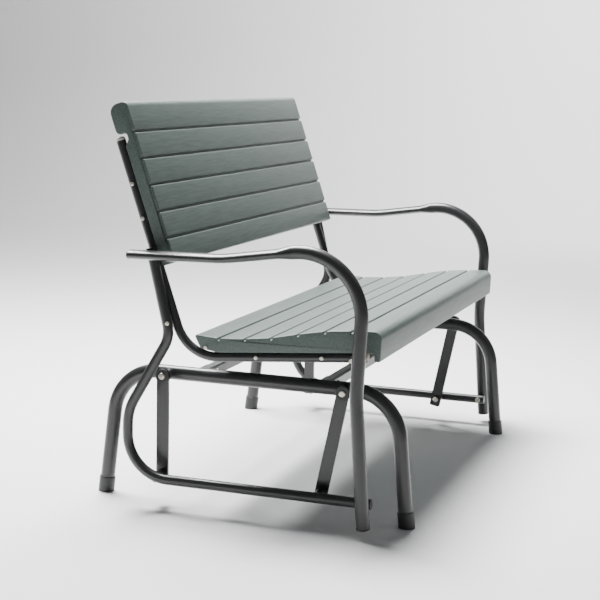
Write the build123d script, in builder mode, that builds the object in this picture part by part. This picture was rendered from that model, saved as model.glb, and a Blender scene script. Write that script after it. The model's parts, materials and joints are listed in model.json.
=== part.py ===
"""Two-seat glider swing: a bench frame hung from a floor-standing base on four swing links.

Frame: millimetres, +Z up, +X along the bench, -Y towards the sitter's feet.
Origin: on the floor, midway between the four feet. "left" is -X, as seen from in front of the bench.
"""
from build123d import *
from math import atan2, cos, degrees, radians, sin, tan
import os

os.makedirs("parts", exist_ok=True)

# ---------------------------------------------------------------- driving dimensions
# clearances
weld_gap = 0.2            # between pieces that are welded or clamped face to face
fit_gap = 0.05            # radial running fit of a pivot bolt in its bush
open_pivot_gap = 1.3      # radial play at the two front lower pivots
axial_gap = 0.3           # side play of a link on its pivot bolt

# tubes
wall = 1.5
base_od = 31.0
side_od = 22.0
seat_od = 20.0
leg_od = 28.0
arm_width = 38.0          # flattened armrest, across
arm_height = 20.0         # flattened armrest, up and down
seat_cross_od = 20.0
base_cross_side = 24.0    # square tube
square_corner = 5.0

# panels
panel_half = 525.0        # half the bench board's length
skin = 3.2                # wall of the hollow moulded boards
slat_pitch = 57.6
groove_depth = 3.5
groove_width = 6.0

# lateral stack, worked outwards from the seat board
seat_tube_x = panel_half - seat_od / 2
side_tube_x = seat_tube_x + seat_od / 2 + side_od / 2 + weld_gap
arm_x = side_tube_x + side_od / 2 + weld_gap + arm_width / 2
base_x = 448.0
link_x = 490.0
link_thickness = 6.0
link_width = 27.0
flange_thickness = 3.5

# base side: an inverted U
foot_y = 344.0
base_rail_z = 280.0
base_leg_slope = 0.11     # the legs spread by this much per unit of height
base_bend = 105.0
cap_od = 35.0
cap_height = 34.0
cap_sole = 5.0

# pivots
top_pivot_y = {"rear": 191.0, "front": -211.0}
low_pivot_y = {"rear": 190.0, "front": -170.0}
low_rail_z = 67.0
pivot_radius = 5.0
boss_radius = 9.0
boss_hole_depth = 22.0
bush_radius = 8.0
top_flange_radius = 15.5
low_flange_radius = 11.0
pivot_head_radius = 7.0
pivot_head_height = 4.2
link_top_margin = 12.0
link_low_margin = 19.0

# base cross tubes
cross_y = {"rear": 122.0, "front": -155.0}
cross_z = base_rail_z
tab_thickness = 4.0
tab_length = 60.0
tab_height = 18.0
cross_bolt_spacing = 40.0
cross_bolt_inset = 10.0

# back board, seen from its lower front edge
recline = 19.3
back_y = 150.8
back_z = 530.0
back_thickness = 31.5
back_height = 350.0
first_back_groove = 53.0
back_grooves = 5
roll_depth = 43.6
roll_height = 64.0
front_round = 13.0
roll_round = 20.0
notch_thickness = 21.0   # board thickness left beside the upright's end
notch_height = 14.0
notch_ramp = 12.0

# seat rail line and bends of the seat-and-back tube
rail_z_at_origin = 341.3
rail_slope = 0.0803       # the rail rises towards the front
rail_front_y = -267.0
seat_bend = 90.0
upright_length = 275.0    # from the level of the back board's lower edge

# seat board
seat_front_y = -299.0
seat_lip_z = 357.0
seat_lip_thickness = 15.0
seat_top = [(107.0, 382.0), (51.5, 378.6), (-6.1, 382.0), (-63.7, 389.0), (-121.3, 400.8),
            (-178.9, 411.0), (-236.5, 416.5), (-279.0, 419.0)]
seat_rear_foot = (86.0, 351.5)

# arm and front leg
arm_end = (233.0, 546.0)
arm_dip = (30.0, 549.0)
arm_corner = (-274.0, 595.0)
knee = (-261.5, 290.0)
leg_end = (-284.0, 26.0)
arm_bend = 128.0
arm_sweep_bend = 350.0
knee_bend = 300.0
flat_end_y = -90.0
round_start_y = -120.0

# rear stile and lower rail
stile_top_z = 556.0
stile_slope = 0.2457
stile_waist = (156.0, 375.0)
stile_knee_z = 209.0
stile_heel_y = 250.5
stile_bends = [60.0, 110.0, 92.0]
low_rail_front_y = -289.0
low_plug_depth = 6.0

# fasteners
bolt_radius = 3.0
bolt_head_radius = 4.4
bolt_head_height = 2.8
nut_radius = 5.5
nut_height = 5.0
joint_bolt_radius = 4.0
joint_head_radius = 6.4
joint_head_height = 3.4
hole_gap = 0.05
lug_thickness = 12.0
lug_half = 13.0
seat_bolt_y = [-32.0, -174.0]
back_bolt_u = [107.0, 182.0]
plug_depth = 14.0
plug_lip = 2.5
corner_screw = (80.0, 356.5)
screw_radius = 2.0
screw_head_radius = 4.0

SIDES = {"left": -1, "right": 1}
ENDS = ["front", "rear"]


# ---------------------------------------------------------------- shared geometry
up_y, up_z = sin(radians(recline)), cos(radians(recline))


def back_point(u, w):
    """A point u up the back board's face and w behind it, as (y, z)."""
    return back_y + u * up_y + w * up_z, back_z + u * up_z - w * up_y


def rail_z(y):
    return rail_z_at_origin - rail_slope * y


def side_points(x, pairs):
    return [(x, y, z) for y, z in pairs]


upright_offset = back_thickness + seat_od / 2 + weld_gap
upright_foot = back_point(0, upright_offset)
upright_head = back_point(upright_length, upright_offset)
corner_y = (upright_foot[0] + (rail_z_at_origin - upright_foot[1]) * tan(radians(recline))) / (
    1 + rail_slope * tan(radians(recline)))
seat_corner = (corner_y, rail_z(corner_y))
base_corner_y = foot_y - base_leg_slope * base_rail_z
stile_top = (stile_waist[0] + (stile_top_z - stile_waist[1]) * stile_slope, stile_top_z)
arm_rise = (arm_corner[1] - arm_dip[1]) / (arm_corner[0] - arm_dip[0])


def arm_line_z(y):
    return arm_dip[1] + (y - arm_dip[0]) * arm_rise


def leg_y(z):
    """Middle of the front leg below the knee."""
    return knee[0] + (knee[1] - z) * (leg_end[0] - knee[0]) / (knee[1] - leg_end[1])


def save(piece, name):
    piece.part.label = name
    export_step(piece.part, f"parts/{name}.step")


def bent_tube(points, radii, od, thickness=wall):
    """A round tube bent along straight runs with the given bend radii."""
    with BuildPart() as tube:
        with BuildLine() as path:
            FilletPolyline(*points, radius=radii)
        with BuildSketch(Plane(origin=path.line @ 0, z_dir=path.line % 0)):
            Circle(od / 2)
            Circle(od / 2 - thickness, mode=Mode.SUBTRACT)
        sweep(path=path.line)
    return tube


def along_x(x, y, z, direction):
    """A plane at the point whose normal is +X or -X."""
    return Plane(origin=(x, y, z), x_dir=(0, 1, 0), z_dir=(direction, 0, 0))


def dome_bolt(plane, shank_radius, length, head_radius, head_height):
    """A bolt whose shank runs along the plane's normal and whose domed head lies behind the plane."""
    with BuildPart() as bolt:
        with BuildSketch(plane):
            Circle(shank_radius)
        extrude(amount=length)
        with BuildSketch(plane):
            Circle(head_radius)
        extrude(amount=-head_height)
        crown = bolt.edges().filter_by(GeomType.CIRCLE).sort_by(
            lambda edge: (edge.center() - plane.origin).dot(plane.z_dir))[0]
        fillet(crown, head_height * 0.6)
    return bolt


def group(name, pieces):
    """Separate identical solids kept together in one node."""
    with BuildPart() as together:
        for piece in pieces:
            add(piece.part)
    save(together, name)


def tube_plug(plane, od, thickness, lip=plug_lip, dome=1.6, depth=plug_depth):
    """A plug pushed into a tube's end: the plane's normal points out of the tube."""
    with BuildPart() as plug:
        with BuildSketch(plane):
            Circle(od / 2 - thickness - hole_gap)
        extrude(amount=-depth)
        with BuildSketch(plane):
            Circle(od / 2)
        extrude(amount=lip)
        rim = plug.edges().filter_by(GeomType.CIRCLE).sort_by(
            lambda edge: (edge.center() - plane.origin).dot(plane.z_dir))[-1]
        fillet(rim, dome)
    return plug


# ---------------------------------------------------------------- base
def base_side(side):
    x = side * base_x
    foot = (foot_y - base_leg_slope * cap_sole, cap_sole)
    points = side_points(x, [(foot[0], foot[1]), (base_corner_y, base_rail_z),
                             (-base_corner_y, base_rail_z), (-foot[0], foot[1])])
    pipe = bent_tube(points, base_bend, base_od)
    boss_face = link_x - link_thickness / 2 - flange_thickness - axial_gap
    root = base_x + base_od / 2 - 3.6
    with BuildPart() as tube:
        add(pipe.part)
        for end in ENDS:
            with BuildSketch(along_x(side * root, top_pivot_y[end], base_rail_z, side)):
                Circle(boss_radius)
            extrude(amount=boss_face - root)
            with BuildSketch(along_x(side * boss_face, top_pivot_y[end], base_rail_z, -side)):
                Circle(pivot_radius + hole_gap)
            extrude(amount=boss_hole_depth, mode=Mode.SUBTRACT)
            tab_y = cross_y[end] + base_cross_side / 2
            inner = base_x - base_od / 2 + 2.5
            middle = side * (inner - tab_length / 2)
            with BuildSketch(Plane(origin=(middle, tab_y, cross_z), x_dir=(1, 0, 0), z_dir=(0, 1, 0))):
                Rectangle(tab_length, tab_height)
                with Locations(*[(side * shift, 0) for shift in tab_bolt_shifts()]):
                    Circle(bolt_radius + hole_gap, mode=Mode.SUBTRACT)
            extrude(amount=tab_thickness)
    return tube


def tab_bolt_shifts():
    """Bolt places along a tab, from its middle."""
    first = -tab_length / 2 + cross_bolt_inset
    return [first, first + cross_bolt_spacing]


for side_name, side in SIDES.items():
    save(base_side(side), f"base_side_{side_name}")

cross_half = base_x - base_od / 2 - 2.0
tab_middle = base_x - base_od / 2 + 2.5 - tab_length / 2
cross_bolt_x = [side * (tab_middle + shift) for side in SIDES.values() for shift in tab_bolt_shifts()]
cross_bolts = []
cross_nuts = []
for end in ENDS:
    with BuildPart() as cross_tube:
        with BuildSketch(Plane.YZ.offset(-cross_half)):
            with Locations((cross_y[end], cross_z)):
                RectangleRounded(base_cross_side, base_cross_side, square_corner)
                RectangleRounded(base_cross_side - 2 * wall, base_cross_side - 2 * wall,
                                 square_corner - wall, mode=Mode.SUBTRACT)
        extrude(amount=2 * cross_half)
        with BuildSketch(Plane(origin=(0, cross_y[end], cross_z), x_dir=(1, 0, 0), z_dir=(0, 1, 0))):
            with Locations(*[(x, 0) for x in cross_bolt_x]):
                Circle(bolt_radius + hole_gap)
        extrude(amount=base_cross_side, both=True, mode=Mode.SUBTRACT)
    save(cross_tube, f"base_cross_tube_{end}")
    head_y = cross_y[end] - base_cross_side / 2
    nut_y = cross_y[end] + base_cross_side / 2 + tab_thickness
    for x in cross_bolt_x:
        seat = Plane(origin=(x, head_y, cross_z), x_dir=(1, 0, 0), z_dir=(0, 1, 0))
        cross_bolts.append(dome_bolt(seat, bolt_radius, nut_y - head_y + nut_height + 2,
                                     bolt_head_radius, bolt_head_height))
        with BuildPart() as nut:
            with BuildSketch(Plane(origin=(x, nut_y, cross_z), x_dir=(1, 0, 0), z_dir=(0, 1, 0))):
                RegularPolygon(nut_radius, 6)
                Circle(bolt_radius + hole_gap, mode=Mode.SUBTRACT)
            extrude(amount=nut_height)
        cross_nuts.append(nut)
group("base_cross_bolts", cross_bolts)
group("base_cross_nuts", cross_nuts)

leg_tilt = Vector(0, -base_leg_slope, 1).normalized()
for side_name, side in SIDES.items():
    for end, way in (("front", -1), ("rear", 1)):
        axis = Vector(0, way * leg_tilt.Y, leg_tilt.Z)
        sole = Vector(side * base_x, way * (foot_y + base_leg_slope * cap_sole), -cap_sole)
        with BuildPart() as foot_cap:
            with BuildSketch(Plane(origin=sole, x_dir=(1, 0, 0), z_dir=axis)):
                Circle(cap_od / 2)
            extrude(amount=cap_height + cap_sole)
            rim = foot_cap.edges().filter_by(GeomType.CIRCLE).sort_by(Axis.Z)[-1]
            fillet(rim, 1.5)
            seat = sole + axis * ((2 * cap_sole) / axis.Z)
            with BuildSketch(Plane(origin=seat, x_dir=(1, 0, 0), z_dir=axis)):
                Circle(base_od / 2 + hole_gap)
            extrude(amount=cap_height, mode=Mode.SUBTRACT)
            split(bisect_by=Plane.XY, keep=Keep.TOP)
        save(foot_cap, f"foot_cap_{end}_{side_name}")


# ---------------------------------------------------------------- swing links
inner_flange_face = link_x - link_thickness / 2 - flange_thickness - axial_gap
outer_flange_face = link_x + link_thickness / 2 + flange_thickness + axial_gap


def swing_link(side, end):
    """A flat bar with a bush hole at each end, leaning along the line between its pivots."""
    top = Vector(side * link_x, top_pivot_y[end], base_rail_z)
    low = Vector(side * link_x, low_pivot_y[end], low_rail_z)
    length = (top - low).length
    face = Plane(origin=low - Vector(side * link_thickness / 2, 0, 0), x_dir=top - low, z_dir=(side, 0, 0))
    with BuildPart() as bar:
        with BuildSketch(face):
            with Locations(((length + link_top_margin - link_low_margin) / 2, 0)):
                Rectangle(length + link_top_margin + link_low_margin, link_width)
            ends = bar.pending_faces
        extrude(amount=link_thickness)
        corners = bar.edges().filter_by(Axis.X)
        direction = (top - low).normalized()
        upper = corners.filter_by(lambda edge: (edge.center() - low).dot(direction) > length / 2)
        lower = corners.filter_by(lambda edge: (edge.center() - low).dot(direction) < length / 2)
        fillet(upper, link_width / 2 - 0.5)
        fillet(lower, 5.0)
        with BuildSketch(face):
            with Locations((0, 0), (length, 0)):
                Circle(bush_radius + hole_gap)
        extrude(amount=link_thickness, mode=Mode.SUBTRACT)
    return bar


def bush_pair(side, y, z, bore, flange_radius):
    """Two flanged bushes that meet inside the link, one from each face."""
    bushes = []
    for way in (-1, 1):
        face_x = side * (link_x + way * link_thickness / 2)
        with BuildPart() as bush:
            with BuildSketch(along_x(face_x, y, z, side * way)):
                Circle(flange_radius)
                Circle(bore, mode=Mode.SUBTRACT)
            extrude(amount=flange_thickness)
            with BuildSketch(along_x(face_x, y, z, -side * way)):
                Circle(bush_radius)
                Circle(bore, mode=Mode.SUBTRACT)
            extrude(amount=link_thickness / 2 - weld_gap / 2)
            outer = bush.edges().filter_by(GeomType.CIRCLE).group_by(
                lambda edge: round(edge.center().X * side * way, 3))[-1].sort_by(SortBy.RADIUS)[-1]
            fillet(outer, 1.2)
        bushes.append(bush)
    return bushes


top_bolts = []
low_bolts = []
pivot_grip = outer_flange_face - inner_flange_face
for side_name, side in SIDES.items():
    for end in ENDS:
        save(swing_link(side, end), f"swing_link_{end}_{side_name}")
        group(f"top_bushes_{end}_{side_name}",
              bush_pair(side, top_pivot_y[end], base_rail_z, pivot_radius + fit_gap, top_flange_radius))
        low_play = open_pivot_gap if end == "front" else fit_gap
        group(f"low_bushes_{end}_{side_name}",
              bush_pair(side, low_pivot_y[end], low_rail_z, pivot_radius + low_play, low_flange_radius))
        grip = pivot_grip + boss_hole_depth - 2
        top_bolts.append(dome_bolt(along_x(side * outer_flange_face, top_pivot_y[end], base_rail_z, -side),
                                   pivot_radius, grip, pivot_head_radius, pivot_head_height))
        low_bolts.append(dome_bolt(along_x(side * inner_flange_face, low_pivot_y[end], low_rail_z, side),
                                   pivot_radius, grip, pivot_head_radius, pivot_head_height))
group("top_pivot_bolts", top_bolts)
group("low_pivot_bolts", low_bolts)


# ---------------------------------------------------------------- gliding frame
def side_tube(side):
    """Rear stile and lower rail in one bent tube, with the two lower pivot bosses."""
    x = side * side_tube_x
    points = side_points(x, [stile_top, stile_waist, (stile_heel_y, stile_knee_z),
                             (stile_heel_y, low_rail_z), (low_rail_front_y, low_rail_z)])
    pipe = bent_tube(points, stile_bends, side_od)
    root = side_tube_x - side_od / 2 + 4.2
    with BuildPart() as tube:
        add(pipe.part)
        for end in ENDS:
            with BuildSketch(along_x(side * root, low_pivot_y[end], low_rail_z, -side)):
                Circle(boss_radius)
            extrude(amount=root - outer_flange_face)
            with BuildSketch(along_x(side * outer_flange_face, low_pivot_y[end], low_rail_z, side)):
                Circle(pivot_radius + hole_gap)
            extrude(amount=boss_hole_depth, mode=Mode.SUBTRACT)
        with BuildSketch(along_x(x, leg_joint_y, low_rail_z, side)):
            Circle(joint_bolt_radius + hole_gap)
        extrude(amount=side_od, both=True, mode=Mode.SUBTRACT)
        with BuildSketch(along_x(x, *arm_joint, side)):
            Circle(joint_bolt_radius + hole_gap)
        extrude(amount=side_od, both=True, mode=Mode.SUBTRACT)
        with BuildSketch(along_x(x, *crossing_joint, side)):
            Circle(bolt_radius + hole_gap)
        extrude(amount=side_od, both=True, mode=Mode.SUBTRACT)
    return tube


leg_joint_y = leg_y(low_rail_z) + 4.5
arm_joint = (198.0, 541.0)
crossing_joint = (157.5, 404.0)
rail_joint_y = rail_front_y + plug_depth + joint_bolt_radius + 3.0
rail_joint = (rail_joint_y, rail_z(rail_joint_y))


def seat_back_tube(side):
    """Seat rail and back upright in one bent tube."""
    x = side * seat_tube_x
    points = side_points(x, [upright_head, seat_corner, (rail_front_y, rail_z(rail_front_y))])
    pipe = bent_tube(points, seat_bend, seat_od)
    small = [(y, rail_z(y)) for y in seat_bolt_y] + [back_point(u, upright_offset) for u in back_bolt_u]
    with BuildPart() as tube:
        add(pipe.part)
        for y, z in small + [crossing_joint]:
            with BuildSketch(along_x(x, y, z, side)):
                Circle(bolt_radius + hole_gap)
            extrude(amount=seat_od, both=True, mode=Mode.SUBTRACT)
        for y, z in (arm_joint, rail_joint):
            with BuildSketch(along_x(x, y, z, side)):
                Circle(joint_bolt_radius + hole_gap)
            extrude(amount=seat_od, both=True, mode=Mode.SUBTRACT)
    return tube


def oval(width, height, inset=0.0):
    Ellipse(width / 2 - inset, height / 2 - inset)


def arm_tube(side):
    """Armrest and front leg in one tube: the armrest is pressed flat and turns round before the bend."""
    x = side * arm_x
    flat_end = (x, flat_end_y, arm_line_z(flat_end_y))
    round_start = (x, round_start_y, arm_line_z(round_start_y))
    heading = Vector(*round_start) - Vector(*flat_end)
    with BuildPart() as tube:
        with BuildLine() as rest_path:
            FilletPolyline((x, *arm_end), (x, *arm_dip), flat_end, radius=arm_sweep_bend)
        with BuildSketch(Plane(origin=rest_path.line @ 0, x_dir=(1, 0, 0), z_dir=rest_path.line % 0)):
            oval(arm_width, arm_height)
            Ellipse(arm_width / 2 - wall, arm_height / 2 - wall, mode=Mode.SUBTRACT)
        sweep(path=rest_path.line)
        for inset, mode in ((0, Mode.ADD), (wall, Mode.SUBTRACT)):
            with BuildSketch(Plane(origin=flat_end, x_dir=(1, 0, 0), z_dir=heading)):
                oval(arm_width, arm_height, inset)
            with BuildSketch(Plane(origin=round_start, x_dir=(1, 0, 0), z_dir=heading)):
                Circle(leg_od / 2 - inset)
            loft(mode=mode)
        with BuildLine() as leg_path:
            FilletPolyline(round_start, (x, *arm_corner), (x, *knee), (x, *leg_end),
                           radius=[arm_bend, knee_bend])
        with BuildSketch(Plane(origin=leg_path.line @ 0, x_dir=(1, 0, 0), z_dir=leg_path.line % 0)):
            Circle(leg_od / 2)
            Circle(leg_od / 2 - wall, mode=Mode.SUBTRACT)
        sweep(path=leg_path.line)
        for y, z in ((leg_joint_y, low_rail_z), arm_joint, rail_joint):
            with BuildSketch(along_x(side * (arm_x - arm_width), y, z, side)):
                Circle(joint_bolt_radius + hole_gap)
            extrude(amount=arm_width, mode=Mode.SUBTRACT)
    return tube


seat_inner_face = seat_tube_x - seat_od / 2
side_outer_face = side_tube_x + side_od / 2
leg_inner_face = arm_x - leg_od / 2
seat_outer_face = seat_tube_x + seat_od / 2
joint_bolts = []
rail_spacers = []
leg_spacers = []
for side_name, side in SIDES.items():
    save(side_tube(side), f"side_tube_{side_name}")
    save(seat_back_tube(side), f"seat_back_tube_{side_name}")
    save(arm_tube(side), f"arm_tube_{side_name}")

    upright_dir = Vector(0, up_y, up_z)
    save(tube_plug(Plane(origin=(side * seat_tube_x, *upright_head), x_dir=(1, 0, 0), z_dir=upright_dir),
                   seat_od, wall, lip=8.0, dome=6.0), f"upright_cap_{side_name}")
    save(tube_plug(Plane(origin=(side * seat_tube_x, rail_front_y, rail_z(rail_front_y)), x_dir=(1, 0, 0),
                         z_dir=(0, -1, rail_slope)), seat_od, wall), f"seat_rail_plug_{side_name}")
    save(tube_plug(Plane(origin=(side * side_tube_x, low_rail_front_y, low_rail_z), x_dir=(1, 0, 0),
                         z_dir=(0, -1, 0)), side_od, wall, depth=low_plug_depth), f"lower_rail_plug_{side_name}")
    stile_dir = Vector(0, stile_slope, 1)
    save(tube_plug(Plane(origin=(side * side_tube_x, *stile_top), x_dir=(1, 0, 0), z_dir=stile_dir),
                   side_od, wall, depth=8.0), f"stile_plug_{side_name}")
    leg_dir = Vector(0, leg_end[0] - knee[0], leg_end[1] - knee[1])
    save(tube_plug(Plane(origin=(side * arm_x, *leg_end), x_dir=(1, 0, 0), z_dir=leg_dir),
                   leg_od, wall, lip=5.0, dome=3.0), f"leg_plug_{side_name}")
    with BuildPart() as arm_plug:
        mouth = Plane(origin=(side * arm_x, *arm_end), x_dir=(1, 0, 0),
                      z_dir=(0, arm_end[0] - arm_dip[0], arm_end[1] - arm_dip[1]))
        with BuildSketch(mouth):
            oval(arm_width, arm_height, wall + hole_gap)
        extrude(amount=-plug_depth)
        with BuildSketch(mouth):
            oval(arm_width, arm_height)
        extrude(amount=plug_lip)
        fillet(arm_plug.edges().filter_by(GeomType.ELLIPSE).sort_by(Axis.Y)[-1], 1.6)
    save(arm_plug, f"arm_plug_{side_name}")

    # three clamped joints a side, each bolted from the inboard face out into the arm tube
    grip_to_arm = arm_x - arm_width / 2 + 8.0 - seat_inner_face
    joint_bolts.append(dome_bolt(along_x(side * seat_inner_face, *arm_joint, side), joint_bolt_radius,
                                 grip_to_arm, joint_head_radius, joint_head_height))
    grip_to_leg = leg_inner_face + 8.0 - seat_inner_face
    joint_bolts.append(dome_bolt(along_x(side * seat_inner_face, *rail_joint, side), joint_bolt_radius,
                                 grip_to_leg, joint_head_radius, joint_head_height))
    side_inner_face = side_tube_x - side_od / 2
    grip_low = leg_inner_face + 8.0 - side_inner_face
    joint_bolts.append(dome_bolt(along_x(side * side_inner_face, leg_joint_y, low_rail_z, side),
                                 joint_bolt_radius, grip_low, joint_head_radius, joint_head_height))
    for spacers, start, y, z in ((rail_spacers, seat_outer_face, *rail_joint),
                                 (leg_spacers, side_outer_face, leg_joint_y, low_rail_z)):
        with BuildPart() as spacer:
            with BuildSketch(along_x(side * (start + weld_gap), y, z, side)):
                Circle(joint_bolt_radius + 4.0)
                Circle(joint_bolt_radius + hole_gap, mode=Mode.SUBTRACT)
            extrude(amount=leg_inner_face - start - 2 * weld_gap)
        spacers.append(spacer)
group("frame_joint_bolts", joint_bolts)
group("rail_spacers", rail_spacers)
group("leg_spacers", leg_spacers)

for end, y in (("front", -105.0), ("rear", 25.0)):
    half = seat_inner_face - weld_gap
    with BuildPart() as seat_cross:
        with BuildSketch(Plane.YZ.offset(-half)):
            with Locations((y, rail_z(y))):
                Circle(seat_cross_od / 2)
                Circle(seat_cross_od / 2 - wall, mode=Mode.SUBTRACT)
        extrude(amount=2 * half)
    save(seat_cross, f"seat_cross_tube_{end}")


# ---------------------------------------------------------------- boards
def rail_top(y):
    return rail_z(y) + seat_od / 2 / cos(atan2(rail_slope, 1)) + weld_gap


lip_back_y = seat_front_y + seat_lip_thickness
board_foot = [seat_rear_foot, (52.0, rail_top(52.0)), (lip_back_y, rail_top(lip_back_y))]
with BuildPart() as seat_panel:
    with BuildSketch(Plane.YZ):
        with BuildLine():
            Spline(*seat_top)
            Polyline(seat_top[-1], (seat_front_y, seat_top[-1][1] - 22), (seat_front_y + 2, seat_lip_z),
                     (lip_back_y, seat_lip_z), board_foot[2], board_foot[1], board_foot[0],
                     (seat_top[0][0] + 6, seat_top[0][1] - 8), seat_top[0])
        make_face()
        for y, z in seat_top[1:-1]:
            with BuildLine():
                Polyline((y - groove_width / 2, z + 2), (y, z - groove_depth), (y + groove_width / 2, z + 2),
                         close=True)
            make_face(mode=Mode.SUBTRACT)
    extrude(amount=panel_half, both=True)
    # the board is blown hollow
    with BuildSketch(Plane.YZ):
        drop = skin + groove_depth
        with BuildLine():
            Spline(*[(y, z - drop) for y, z in seat_top])
            Polyline((seat_top[-1][0], seat_top[-1][1] - drop), (lip_back_y, seat_top[-1][1] - drop - 8),
                     (lip_back_y, board_foot[2][1] + skin), (52.0, board_foot[1][1] + skin),
                     (seat_rear_foot[0], seat_rear_foot[1] + skin), (seat_top[0][0], seat_top[0][1] - drop))
        make_face()
    extrude(amount=panel_half - skin, both=True, mode=Mode.SUBTRACT)
    for side in SIDES.values():
        for y in seat_bolt_y:
            lug_x = side * (seat_inner_face - weld_gap - lug_thickness)
            with BuildSketch(along_x(lug_x, y, rail_z(y), side)):
                with Locations((0, side * (lug_half - 9))):
                    Rectangle(2 * lug_half, 2 * lug_half)
                Circle(bolt_radius + hole_gap, mode=Mode.SUBTRACT)
            extrude(amount=lug_thickness)
        with BuildSketch(along_x(side * (panel_half - skin - 1), *corner_screw, side)):
            Circle(screw_radius + hole_gap)
        extrude(amount=skin + 2, mode=Mode.SUBTRACT)
save(seat_panel, "seat_panel")

board_plane = Plane(origin=(0, back_y, back_z), x_dir=(0, up_y, up_z), z_dir=(-1, 0, 0))
groove_u = [first_back_groove + step * slat_pitch for step in range(back_grooves)]
roll_u = back_height - roll_height
with BuildPart() as back_panel:
    with BuildSketch(board_plane):
        with BuildLine():
            Polyline((0, 0), (back_height, 0), (back_height, roll_depth), (roll_u, roll_depth),
                     (roll_u, notch_thickness), (roll_u - notch_height, notch_thickness),
                     (roll_u - notch_height - notch_ramp, back_thickness), (0, back_thickness), close=True)
        make_face()
    extrude(amount=panel_half, both=True)
    top_edges = back_panel.edges().filter_by(Axis.X).filter_by(
        lambda edge: board_plane.to_local_coords(edge.center()).X > back_height - 1)
    fillet(top_edges.filter_by(lambda edge: board_plane.to_local_coords(edge.center()).Y < 1), front_round)
    fillet(top_edges.filter_by(lambda edge: board_plane.to_local_coords(edge.center()).Y > 1), roll_round)
    for u in groove_u:
        with BuildSketch(board_plane):
            with BuildLine():
                Polyline((u - groove_width / 2, -1), (u, groove_depth), (u + groove_width / 2, -1), close=True)
            make_face()
        extrude(amount=panel_half + 1, both=True, mode=Mode.SUBTRACT)
    # the board is blown hollow
    inner = skin + groove_depth
    with BuildSketch(board_plane):
        with BuildLine():
            Polyline((skin, inner), (back_height - roll_round / 2, inner),
                     (back_height - roll_round / 2, roll_depth - roll_round / 2),
                     (roll_u + skin, roll_depth - roll_round / 2), (roll_u + skin, notch_thickness - skin),
                     (roll_u - notch_height - notch_ramp, notch_thickness - skin),
                     (roll_u - notch_height - 2 * notch_ramp, back_thickness - skin),
                     (skin, back_thickness - skin), close=True)
        make_face()
    extrude(amount=panel_half - skin, both=True, mode=Mode.SUBTRACT)
    for side in SIDES.values():
        for u in back_bolt_u:
            lug_x = side * (seat_inner_face - weld_gap - lug_thickness / 2)
            y, z = back_point(u, upright_offset)
            with BuildSketch(Plane(origin=(lug_x, y, z), x_dir=(0, up_y, up_z), z_dir=(-1, 0, 0))):
                with Locations((0, -0.5)):
                    Rectangle(2 * lug_half, seat_od + 1.5)
                Circle(bolt_radius + hole_gap, mode=Mode.SUBTRACT)
            extrude(amount=lug_thickness / 2, both=True)
save(back_panel, "back_panel")


# ---------------------------------------------------------------- board fasteners
lug_inner_face = seat_inner_face - weld_gap - lug_thickness
seat_bolts = []
back_bolts = []
board_nuts = {"seat": [], "back": []}
corner_screws = []
crossing_bolts = []
for side in SIDES.values():
    board_grip = seat_outer_face - lug_inner_face + nut_height + 2
    places = {"seat": [(y, rail_z(y)) for y in seat_bolt_y],
              "back": [back_point(u, upright_offset) for u in back_bolt_u]}
    for board, bolts in (("seat", seat_bolts), ("back", back_bolts)):
        for y, z in places[board]:
            bolts.append(dome_bolt(along_x(side * seat_outer_face, y, z, -side), bolt_radius,
                                   board_grip, bolt_head_radius, bolt_head_height))
            with BuildPart() as nut:
                with BuildSketch(along_x(side * lug_inner_face, y, z, -side)):
                    RegularPolygon(nut_radius, 6)
                    Circle(bolt_radius + hole_gap, mode=Mode.SUBTRACT)
                extrude(amount=nut_height)
            board_nuts[board].append(nut)
    corner_screws.append(dome_bolt(along_x(side * panel_half, *corner_screw, -side), screw_radius,
                                   8.0, screw_head_radius, 2.0))
    crossing_bolts.append(dome_bolt(along_x(side * side_outer_face, *crossing_joint, -side), bolt_radius,
                                    side_outer_face - seat_inner_face, bolt_head_radius, bolt_head_height))
group("seat_panel_bolts", seat_bolts)
group("back_panel_bolts", back_bolts)
group("seat_panel_nuts", board_nuts["seat"])
group("back_panel_nuts", board_nuts["back"])
group("seat_corner_screws", corner_screws)
group("crossing_bolts", crossing_bolts)
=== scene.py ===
"""Looks for the glider swing: moulded slat boards, powder-coated tube, plastic caps and zinc bolts."""
import json
import math

import bmesh
import bpy
from mathutils import Matrix, Vector
from mathutils.geometry import tessellate_polygon


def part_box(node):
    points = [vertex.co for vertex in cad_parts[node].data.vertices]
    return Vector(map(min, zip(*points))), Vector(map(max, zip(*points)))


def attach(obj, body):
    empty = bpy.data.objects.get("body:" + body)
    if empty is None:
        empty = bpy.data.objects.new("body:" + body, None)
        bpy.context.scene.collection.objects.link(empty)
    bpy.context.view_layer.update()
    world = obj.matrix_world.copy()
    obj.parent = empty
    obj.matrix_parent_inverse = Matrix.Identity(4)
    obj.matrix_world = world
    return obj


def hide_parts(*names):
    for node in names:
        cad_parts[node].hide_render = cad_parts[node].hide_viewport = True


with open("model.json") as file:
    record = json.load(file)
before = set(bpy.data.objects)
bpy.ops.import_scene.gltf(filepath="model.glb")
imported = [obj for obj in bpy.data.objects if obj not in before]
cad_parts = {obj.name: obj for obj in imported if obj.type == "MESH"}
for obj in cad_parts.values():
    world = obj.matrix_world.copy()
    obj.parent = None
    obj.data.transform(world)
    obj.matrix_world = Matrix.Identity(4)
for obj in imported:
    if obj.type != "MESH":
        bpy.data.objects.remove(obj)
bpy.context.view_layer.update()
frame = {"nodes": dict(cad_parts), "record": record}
MM = 0.001

# ---------------------------------------------------------------- sizes (millimetres, CAD frame)
PANEL_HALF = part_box("back_panel")[1].x / MM
END_ROUND = 2.5                     # softening of both boards' ends
SHARP_ANGLE = math.radians(38)      # edges steeper than this shade as edges

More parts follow.
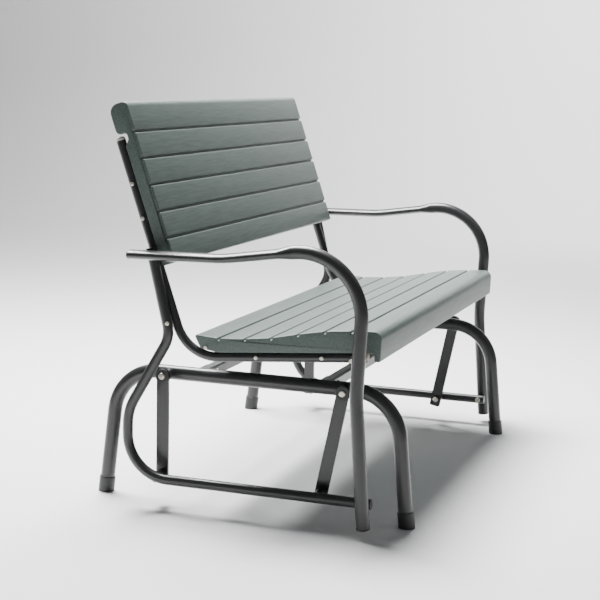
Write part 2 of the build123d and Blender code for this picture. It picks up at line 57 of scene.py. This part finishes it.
# grooves between the slats, the same on both boards
SLAT_PITCH = 57.6
GROOVE_HALF = 3.6
GROOVE_FLOOR_HALF = GROOVE_HALF * 0.5
GROOVE_DEPTH = 5.0
GROOVE_LIP_ROUND = 2.6
GROOVE_FLOOR_ROUND = 0.8

# back board
RECLINE = math.radians(19.3)
BACK_FOOT = (150.8, 530.0)          # y, z of its lower front edge
BACK_HEIGHT = 349.9
BACK_THICKNESS = 31.5
BACK_EDGE_ROUND = 5
BACK_GROOVE = 53.0                  # first groove above the lower edge
BACK_GROOVES = 5
ROLL_DEPTH = 43.6
ROLL_HEIGHT = 64.0
ROLL_FRONT_ROUND = 13
ROLL_REAR_ROUND = 20
ROLL_UNDER_ROUND = 12
NOTCH_W = 21.0                      # thickness left beside the upright's end
NOTCH_HEIGHT = 14                   # how far the notch runs down below the roll
NOTCH_RUN_OUT = 26                  # where the full thickness is back, below the roll
NOTCH_ROUND = 6

# seat board
SEAT_TOP = [(107.0, 382.0), (51.5, 378.6), (-6.1, 382.0), (-63.7, 389.0), (-121.3, 400.8),
            (-178.9, 411.0), (-236.5, 416.5), (-279.0, 419.0)]     # y, z: rear edge, grooves, nose
SLAT_SHARES = (0.25, 0.5, 0.75)     # points along a slat that follow the top's curve
NOSE_Y = -262.0                     # where the front slat starts to round over
NOSE_ROUND = 24
SEAT_REAR_ROUND = 11
SEAT_FRONT_Y = -299.0
SEAT_FRONT_DRAFT = 2                # the front face leans back this much by its lower edge
SEAT_LIP_Z = 357.0
SEAT_LIP = 15.0
SEAT_LIP_ROUND = 4
SEAT_LIP_BACK_ROUND = 3
SEAT_FOOT = [(92.0, 353.5), (52.0, 347.4)]
SEAT_FOOT_ROUND = 6

# seat rail and the lugs that clamp the boards to the tubes
RAIL_Z = 341.3
RAIL_SLOPE = 0.0803
RAIL_GAP = 0.4
TUBE_R = 10.0
LUG_X = (492.9, 504.7)
LUG_HALF = 13.0
LUG_HALF_HEIGHT = 11
LUG_ROUND = 3
LUG_END_ROUND = 1.0
LUG_RISE = 2.5                      # seat lugs' middle above the rail's axis
SEAT_BOLT_Y = [-32.0, -174.0]
BACK_BOLT_U = [107.0, 182.0]

# tubes that carry the pivot bosses, and the weld beads round the bosses
BASE_X, BASE_R = 448.0, 15.5
SIDE_X, SIDE_R = 536.2, 11.0
BEAD_R = 1.7
BEAD_RING = 9.2
BEAD_STEPS = 72
BEAD_SIDES = 8
BEAD_RIPPLES = 18
BEAD_RIPPLE = 0.12                  # share of the bead's radius


# ---------------------------------------------------------------- shape helpers
def rounded(corners, steps=5):
    """A closed outline from (a, b, radius) corners, each corner turned into an arc."""
    out = []
    count = len(corners)
    for i, (a, b, radius) in enumerate(corners):
        here = Vector((a, b))
        before = Vector(corners[i - 1][:2]) - here
        after = Vector(corners[(i + 1) % count][:2]) - here
        turn = before.angle(after)
        if radius <= 0 or turn > math.pi - 0.05:
            out.append(here)
            continue
        reach = radius / math.tan(turn / 2)
        reach = min(reach, before.length * 0.49, after.length * 0.49)
        radius = reach * math.tan(turn / 2)
        halfway = (before.normalized() + after.normalized()).normalized()
        middle = here + halfway * radius / math.sin(turn / 2)
        start = here + before.normalized() * reach - middle
        end = here + after.normalized() * reach - middle
        sweep = math.pi - turn
        for step in range(steps + 1):
            share = step / steps
            near, far = math.sin((1 - share) * sweep), math.sin(share * sweep)
            out.append(middle + (start * near + end * far) / math.sin(sweep))
    return out


def shrunk(outline, inset):
    """The outline moved inwards by the inset, along each point's normal."""
    area = sum(p.x * q.y - q.x * p.y for p, q in zip(outline, outline[1:] + outline[:1]))
    sign = 1 if area > 0 else -1
    moved = []
    for i, point in enumerate(outline):
        along = outline[(i + 1) % len(outline)] - outline[i - 1]
        normal = Vector((-along.y, along.x)).normalized() * sign
        moved.append(point + normal * inset)
    return moved


def closed_piece(name, verts, faces):
    """A smooth object in the scene from a closed surface in metres, its normals outwards."""
    mesh = bpy.data.meshes.new(name)
    mesh.from_pydata(verts, [], faces)
    shell = bmesh.new()
    shell.from_mesh(mesh)
    bmesh.ops.recalc_face_normals(shell, faces=shell.faces)
    shell.to_mesh(mesh)
    shell.free()
    mesh.shade_smooth()
    piece = bpy.data.objects.new(name, mesh)
    bpy.context.scene.collection.objects.link(piece)
    return piece


def lofted(name, outline, x_low, x_high, place, end_round, steps=6):
    """A closed solid: the outline run along X with softened ends. place turns (a, b) into (y, z)."""
    rings = [(x_low + end_round * (1 - math.cos(math.pi / 2 * s / steps)),
              end_round * (1 - math.sin(math.pi / 2 * s / steps))) for s in range(steps + 1)]
    rings += [(x_high - (x - x_low), inset) for x, inset in reversed(rings)]
    verts = []
    for x, inset in rings:
        for point in shrunk(outline, inset):
            y, z = place(point.x, point.y)
            verts.append((x * MM, y * MM, z * MM))
    count = len(outline)
    faces = []
    for ring in range(len(rings) - 1):
        low, high = ring * count, (ring + 1) * count
        for i in range(count):
            j = (i + 1) % count
            faces.append((low + i, low + j, high + j, high + i))
    far_end = (len(rings) - 1) * count
    for a, b, c in tessellate_polygon([[(p.x, p.y, 0) for p in outline]]):
        faces += [(a, b, c), (far_end + c, far_end + b, far_end + a)]
    piece = closed_piece(name, verts, faces)
    for face in piece.data.polygons:
        if len(face.vertices) == 3:         # the flat ends
            face.use_smooth = False
    piece.data.set_sharp_from_angle(angle=SHARP_ANGLE)
    return piece


def same(a, b):
    """The seat board's outline is already drawn in (y, z)."""
    return a, b


def back_place(u, w):
    """A point u up the back board's face and w behind it."""
    up_y, up_z = math.sin(RECLINE), math.cos(RECLINE)
    return BACK_FOOT[0] + u * up_y + w * up_z, BACK_FOOT[1] + u * up_z - w * up_y


def rail_z(y):
    """Height of the seat rail's axis."""
    return RAIL_Z - RAIL_SLOPE * y


def top_z(y):
    """Height of the seat board's top, smoothly through its named points."""
    points = SEAT_TOP
    for i in range(len(points) - 1):
        if points[i][0] >= y >= points[i + 1][0]:
            before = points[max(i - 1, 0)]
            start, end = points[i], points[i + 1]
            after = points[min(i + 2, len(points) - 1)]
            share = (start[0] - y) / (start[0] - end[0])
            lead = (end[1] - before[1]) / 2
            trail = (after[1] - start[1]) / 2
            cube, square = share ** 3, share ** 2
            return ((2 * cube - 3 * square + 1) * start[1] + (cube - 2 * square + share) * lead
                    + (3 * square - 2 * cube) * end[1] + (cube - square) * trail)
    return points[-1][1]


# ---------------------------------------------------------------- boards
def back_outline():
    """The back board's section: slats up the front, a rolled top, a notch behind it."""
    corners = [(0, 0, BACK_EDGE_ROUND)]
    for i in range(BACK_GROOVES):
        u = BACK_GROOVE + i * SLAT_PITCH
        corners += [(u - GROOVE_HALF, 0, GROOVE_LIP_ROUND),
                    (u - GROOVE_FLOOR_HALF, GROOVE_DEPTH, GROOVE_FLOOR_ROUND),
                    (u + GROOVE_FLOOR_HALF, GROOVE_DEPTH, GROOVE_FLOOR_ROUND),
                    (u + GROOVE_HALF, 0, GROOVE_LIP_ROUND)]
    roll = BACK_HEIGHT - ROLL_HEIGHT
    corners += [(BACK_HEIGHT, 0, ROLL_FRONT_ROUND), (BACK_HEIGHT, ROLL_DEPTH, ROLL_REAR_ROUND),
                (roll, ROLL_DEPTH, ROLL_UNDER_ROUND), (roll, NOTCH_W, NOTCH_ROUND),
                (roll - NOTCH_HEIGHT, NOTCH_W, NOTCH_ROUND),
                (roll - NOTCH_RUN_OUT, BACK_THICKNESS, NOTCH_ROUND),
                (0, BACK_THICKNESS, BACK_EDGE_ROUND)]
    return rounded(corners)


def seat_outline():
    """The seat board's section, from its rear top edge forwards over the nose and back below."""
    corners = [(SEAT_TOP[0][0], SEAT_TOP[0][1], SEAT_REAR_ROUND)]
    edge = SEAT_TOP[0][0]
    for y, _ in SEAT_TOP[1:-1]:
        for share in SLAT_SHARES:
            mid = edge + (y - edge) * share
            corners.append((mid, top_z(mid), 0))
        floor_z = top_z(y) - GROOVE_DEPTH
        corners += [(y + GROOVE_HALF, top_z(y + GROOVE_HALF), GROOVE_LIP_ROUND),
                    (y + GROOVE_FLOOR_HALF, floor_z, GROOVE_FLOOR_ROUND),
                    (y - GROOVE_FLOOR_HALF, floor_z, GROOVE_FLOOR_ROUND),
                    (y - GROOVE_HALF, top_z(y - GROOVE_HALF), GROOVE_LIP_ROUND)]
        edge = y
    lip_back = SEAT_FRONT_Y + SEAT_LIP
    (rear_y, rear_z), (front_y, front_z) = SEAT_FOOT
    corners += [(NOSE_Y, top_z(NOSE_Y), 0), (SEAT_FRONT_Y, SEAT_TOP[-1][1], NOSE_ROUND),
                (SEAT_FRONT_Y + SEAT_FRONT_DRAFT, SEAT_LIP_Z, SEAT_LIP_ROUND),
                (lip_back, SEAT_LIP_Z, SEAT_LIP_BACK_ROUND),
                (lip_back, rail_z(lip_back) + TUBE_R + RAIL_GAP, SEAT_LIP_BACK_ROUND),
                (front_y, front_z, 0), (rear_y, rear_z, SEAT_FOOT_ROUND)]
    return rounded(corners)


back = lofted("back_board", back_outline(), -PANEL_HALF, PANEL_HALF, back_place, END_ROUND)
seat = lofted("seat_board", seat_outline(), -PANEL_HALF, PANEL_HALF, same, END_ROUND)
lug_outline = rounded([(-LUG_HALF, -LUG_HALF_HEIGHT, LUG_ROUND), (LUG_HALF, -LUG_HALF_HEIGHT, LUG_ROUND),
                       (LUG_HALF, LUG_HALF_HEIGHT, LUG_ROUND), (-LUG_HALF, LUG_HALF_HEIGHT, LUG_ROUND)])
boards = {"back_panel": [back], "seat_panel": [seat]}
for side_name, side in (("left", -1), ("right", 1)):
    low, high = sorted((side * LUG_X[0], side * LUG_X[1]))
    for i, y in enumerate(SEAT_BOLT_Y):
        z = rail_z(y) + LUG_RISE
        boards["seat_panel"].append(lofted(f"seat_lug_{side_name}_{i}", lug_outline, low, high,
                                           lambda a, b, y=y, z=z: (y + a, z + b), LUG_END_ROUND))
    for i, u in enumerate(BACK_BOLT_U):
        w = BACK_THICKNESS + TUBE_R
        boards["back_panel"].append(lofted(f"back_lug_{side_name}_{i}", lug_outline, low, high,
                                           lambda a, b, u=u, w=w: back_place(u + a, w + b),
                                           LUG_END_ROUND))
for node, members in boards.items():
    for member in members:
        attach(member, "seat_frame")
        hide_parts(node)


# ---------------------------------------------------------------- weld beads around the pivot bosses
def weld_bead(name, body, centre, tube_r, way):
    """A rippled bead where a round boss leaves a tube that runs along Y. way is +1 or -1 along X."""
    verts, faces = [], []
    for step in range(BEAD_STEPS):
        angle = 2 * math.pi * step / BEAD_STEPS
        y, z = BEAD_RING * math.cos(angle), BEAD_RING * math.sin(angle)
        middle = Vector((way * math.sqrt(tube_r ** 2 - z ** 2), y, z))
        outward = Vector((0, math.cos(angle), math.sin(angle)))
        radius = BEAD_R * (1 + BEAD_RIPPLE * math.sin(BEAD_RIPPLES * angle))
        for turn_step in range(BEAD_SIDES):
            turn = 2 * math.pi * turn_step / BEAD_SIDES
            spot = middle + outward * radius * math.cos(turn) + Vector((way, 0, 0)) * radius * math.sin(turn)
            verts.append(tuple((Vector(centre) + spot) * MM))
    for i in range(BEAD_STEPS):
        for k in range(BEAD_SIDES):
            j, m = (i + 1) % BEAD_STEPS, (k + 1) % BEAD_SIDES
            faces.append((i * BEAD_SIDES + k, j * BEAD_SIDES + k, j * BEAD_SIDES + m, i * BEAD_SIDES + m))
    bead = closed_piece(name, verts, faces)
    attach(bead, body)
    return bead


def pivot_places(kind):
    """(y, z) of the pivots in millimetres, read from the bushes."""
    places = {}
    for end in ("front", "rear"):
        low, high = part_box(f"{kind}_bushes_{end}_left")
        middle = (low + high) / 2
        places[end] = (middle.y / MM, middle.z / MM)
    return places


beads = []
for side_name, side in (("left", -1), ("right", 1)):
    for end, (y, z) in pivot_places("top").items():
        beads.append(weld_bead(f"top_boss_weld_{end}_{side_name}", "base",
                               (side * BASE_X, y, z), BASE_R, side))
    for end, (y, z) in pivot_places("low").items():
        beads.append(weld_bead(f"low_boss_weld_{end}_{side_name}", "seat_frame",
                               (side * SIDE_X, y, z), SIDE_R, -side))


# ---------------------------------------------------------------- materials
NOISE_ROUGHNESS = 0.6
TINT_DARK_AT, TINT_LIGHT_AT = 0.32, 0.68
FINE_BUMP = 0.0002                  # metres
BOARD_BUMP = 0.0006


def material(name, color, roughness, metallic=0.0, coat=0.0, coat_roughness=0.2, specular=0.5):
    """A Principled material with its values set on the shader."""
    made = bpy.data.materials.new(name)
    made.use_nodes = True
    shader = made.node_tree.nodes["Principled BSDF"]
    shader.inputs["Base Color"].default_value = (*color, 1)
    shader.inputs["Roughness"].default_value = roughness
    shader.inputs["Metallic"].default_value = metallic
    shader.inputs["Coat Weight"].default_value = coat
    shader.inputs["Coat Roughness"].default_value = coat_roughness
    shader.inputs["Specular IOR Level"].default_value = specular
    return made


def stretched_noise(made, scale, stretch, detail=4.0):
    """Noise in object space, drawn out along X."""
    nodes, links = made.node_tree.nodes, made.node_tree.links
    coords = nodes.new("ShaderNodeTexCoord")
    mapping = nodes.new("ShaderNodeMapping")
    mapping.inputs["Scale"].default_value = (stretch, 1, 1)
    noise = nodes.new("ShaderNodeTexNoise")
    noise.inputs["Scale"].default_value = scale
    noise.inputs["Detail"].default_value = detail
    noise.inputs["Roughness"].default_value = NOISE_ROUGHNESS
    links.new(coords.outputs["Object"], mapping.inputs["Vector"])
    links.new(mapping.outputs["Vector"], noise.inputs["Vector"])
    return noise


def add_bump(made, noise, strength, distance):
    """Fine relief from the noise."""
    nodes, links = made.node_tree.nodes, made.node_tree.links
    bump = nodes.new("ShaderNodeBump")
    bump.inputs["Strength"].default_value = strength
    bump.inputs["Distance"].default_value = distance
    links.new(noise.outputs["Fac"], bump.inputs["Height"])
    links.new(bump.outputs["Normal"], nodes["Principled BSDF"].inputs["Normal"])


def add_tint(made, noise, dark, light):
    """Base colour between dark and light, following the noise."""
    nodes, links = made.node_tree.nodes, made.node_tree.links
    ramp = nodes.new("ShaderNodeValToRGB")
    ramp.color_ramp.elements[0].position = TINT_DARK_AT
    ramp.color_ramp.elements[0].color = (*dark, 1)
    ramp.color_ramp.elements[1].position = TINT_LIGHT_AT
    ramp.color_ramp.elements[1].color = (*light, 1)
    links.new(noise.outputs["Fac"], ramp.inputs["Fac"])
    links.new(ramp.outputs["Color"], nodes["Principled BSDF"].inputs["Base Color"])


board = material("board_plastic", (0.09, 0.118, 0.107), 0.45, specular=0.4)
grain = stretched_noise(board, 260.0, 0.06)
add_bump(board, grain, 0.35, BOARD_BUMP)
add_tint(board, grain, (0.056, 0.078, 0.069), (0.086, 0.113, 0.102))

coat = material("coated_tube", (0.024, 0.024, 0.025), 0.36, coat=0.35, coat_roughness=0.15, specular=0.3)
peel = stretched_noise(coat, 900.0, 1.0, detail=2.0)
add_bump(coat, peel, 0.08, FINE_BUMP)
add_tint(coat, peel, (0.02, 0.02, 0.021), (0.028, 0.028, 0.029))

# small parts: slot, colour, roughness, metallic, grain scale, bump strength
SMALL_PARTS = [
    ("black_plastic", (0.012, 0.012, 0.013), 0.45, 0.0, 700.0, 0.1),
    ("bush_plastic", (0.014, 0.014, 0.015), 0.5, 0.0, 700.0, 0.1),
    ("zinc_steel", (0.62, 0.58, 0.5), 0.35, 0.85, 500.0, 0.08),
    ("pale_cap_plastic", (0.55, 0.52, 0.49), 0.5, 0.0, 700.0, 0.1),
    ("rail_plug_plastic", (0.34, 0.27, 0.22), 0.5, 0.0, 700.0, 0.1),
]
by_slot = {"board_plastic": board, "coated_tube": coat}
for slot, color, roughness, metallic, grain_scale, strength in SMALL_PARTS:
    made = material(slot, color, roughness, metallic)
    add_bump(made, stretched_noise(made, grain_scale, 1.0), strength, FINE_BUMP)
    by_slot[slot] = made

slot_of = {entry["node"]: entry["material_slot"] for entry in frame["record"]["subparts"]}
for node, piece in frame["nodes"].items():
    piece.data.materials.clear()
    piece.data.materials.append(by_slot[slot_of[node]])
for members in boards.values():
    for member in members:
        member.data.materials.append(board)
for bead in beads:
    bead.data.materials.append(coat)

# ---------------------------------------------------------------- floor, backdrop, light, camera (metres)
CAMERA_PLACE = (-3.362, -1.0949, 0.931)
CAMERA_YAW, CAMERA_PITCH, CAMERA_ROLL = -71.118, 8.72, 1.436
LENS = 90.07
SENSOR = 36.0
SWEEP_R, FLOOR_NEAR, FLOOR_FAR, FLOOR_HALF, WALL = 2.0, -9.0, 5.0, 12.0, 9.0
SWEEP_STEPS = 16
OBJECT_MIDDLE = (0, 0, 0.4)
WALL_MIDDLE = (7.0, 2.0, 0.8)
WORLD_COLOR = (0.93, 0.96, 1.0, 1)
WORLD_STRENGTH = 0.12

paper = material("paper", (0.8, 0.8, 0.8), 0.95)
profile = [(FLOOR_NEAR, 0.0), (FLOOR_FAR, 0.0)]
for step in range(1, SWEEP_STEPS + 1):
    angle = math.pi / 2 * step / SWEEP_STEPS
    profile.append((FLOOR_FAR + SWEEP_R * math.sin(angle), SWEEP_R * (1 - math.cos(angle))))
profile.append((FLOOR_FAR + SWEEP_R, WALL))
verts = [(across, along, up) for along, up in profile for across in (-FLOOR_HALF, FLOOR_HALF)]
faces = [(2 * i, 2 * i + 1, 2 * i + 3, 2 * i + 2) for i in range(len(profile) - 1)]
sweep_mesh = bpy.data.meshes.new("floor_sweep")
sweep_mesh.from_pydata(verts, [], faces)
sweep_mesh.shade_smooth()
sweep_mesh.materials.append(paper)
floor = bpy.data.objects.new("floor_sweep", sweep_mesh)
floor.rotation_euler = (0, 0, math.radians(CAMERA_YAW))
bpy.context.scene.collection.objects.link(floor)


def soft_light(name, place, aim, size, power):
    """A round area light at place, facing aim."""
    data = bpy.data.lights.new(name, "AREA")
    data.shape = "DISK"
    data.size = size
    data.energy = power
    lamp = bpy.data.objects.new(name, data)
    lamp.location = place
    lamp.rotation_euler = (Vector(aim) - Vector(place)).to_track_quat("-Z", "Y").to_euler()
    bpy.context.scene.collection.objects.link(lamp)


soft_light("sky_panel", (0.5, 0.8, 2.9), OBJECT_MIDDLE, 1.8, 520)
soft_light("front_panel", (0.8, -3.4, 3.4), OBJECT_MIDDLE, 1.6, 8)
soft_light("backdrop_wash", (5.5, -0.5, 3.5), WALL_MIDDLE, 3.0, 330)
world = bpy.data.worlds.new("studio")
bpy.context.scene.world = world
world.use_nodes = True
world.node_tree.nodes["Background"].inputs["Color"].default_value = WORLD_COLOR
world.node_tree.nodes["Background"].inputs["Strength"].default_value = WORLD_STRENGTH

camera_data = bpy.data.cameras.new("camera")
camera_data.lens = LENS
camera_data.sensor_width = SENSOR
camera_data.dof.use_dof = False
camera = bpy.data.objects.new("camera", camera_data)
turn = (Matrix.Rotation(math.radians(CAMERA_YAW), 4, "Z")
        @ Matrix.Rotation(math.radians(90 - CAMERA_PITCH), 4, "X")
        @ Matrix.Rotation(math.radians(CAMERA_ROLL), 4, "Z"))
camera.matrix_world = Matrix.Translation(CAMERA_PLACE) @ turn
bpy.context.scene.collection.objects.link(camera)
bpy.context.scene.camera = camera
